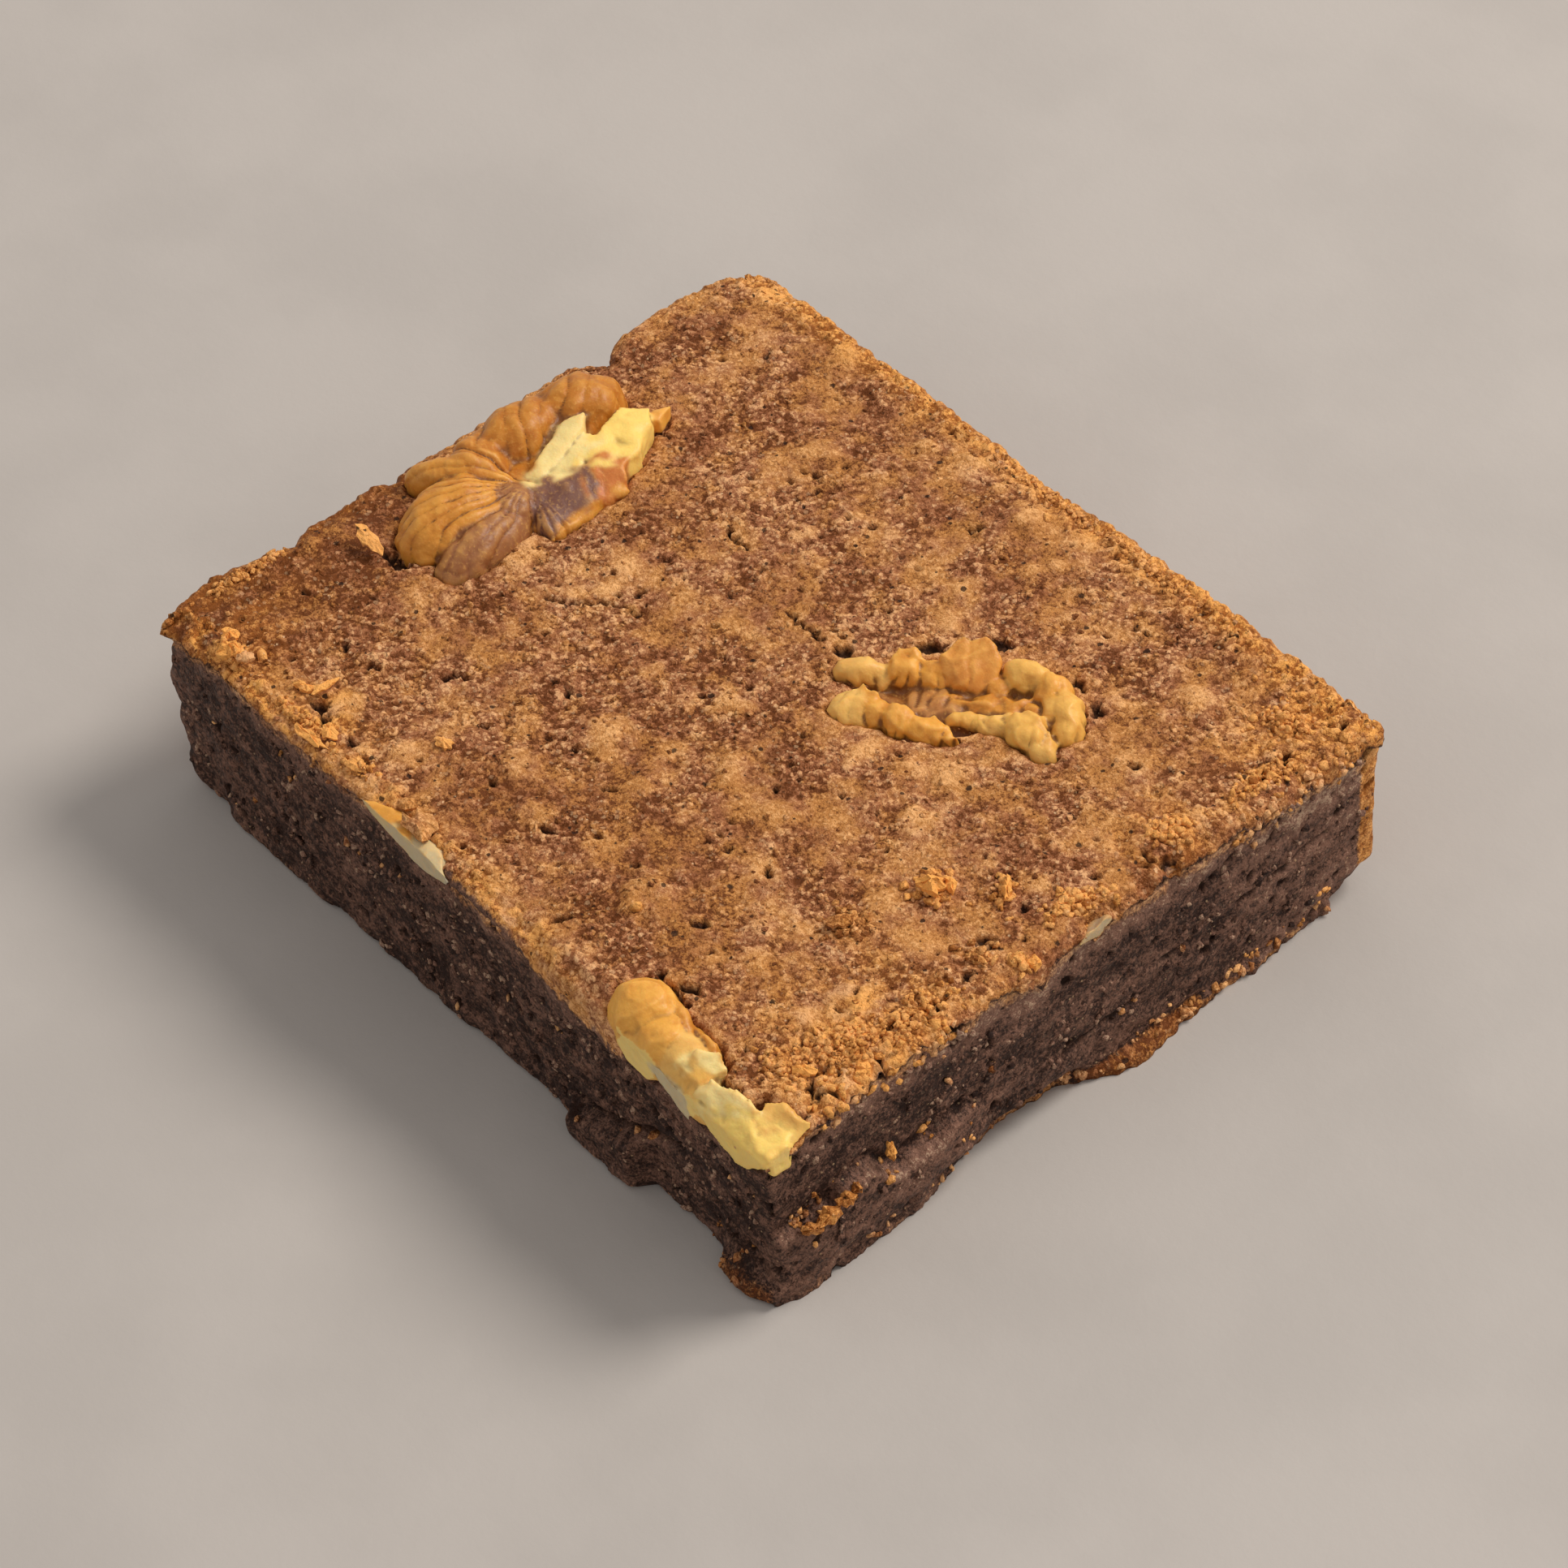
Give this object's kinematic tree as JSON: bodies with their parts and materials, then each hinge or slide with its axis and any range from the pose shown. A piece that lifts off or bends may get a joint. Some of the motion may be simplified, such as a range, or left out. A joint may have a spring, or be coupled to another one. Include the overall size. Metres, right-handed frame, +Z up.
{
  "type": "blondie",
  "caption": "Piece of walnut blondie cut from the corner of a pan, with a baked top, dark cut sides and walnut pieces set in the top and rims.",
  "frame": {"origin": "on the surface that the piece lies on, under the middle of its box", "axes": "+Z up; +X along the longer side, towards the cut side that faces front right; +Y towards the pan side at the back right, so -Y is the other cut side, at the front left"},
  "size_m": [0.082, 0.0674, 0.0226],
  "materials": {
    "blondie_crust": "matte, granular golden-brown baked crust, over very dark brown crumb on the cut sides",
    "walnut": "satin, amber-brown nut skin with pale cream flesh where broken or cut"
  },
  "bodies": {
    "root": {"blondie_slab": "blondie_crust", "walnut_half_edge": "walnut", "walnut_half_middle": "walnut", "walnut_piece_corner": "walnut", "walnut_piece_side": "walnut", "walnut_sliver_side": "walnut"}
  },
  "joints": []
}
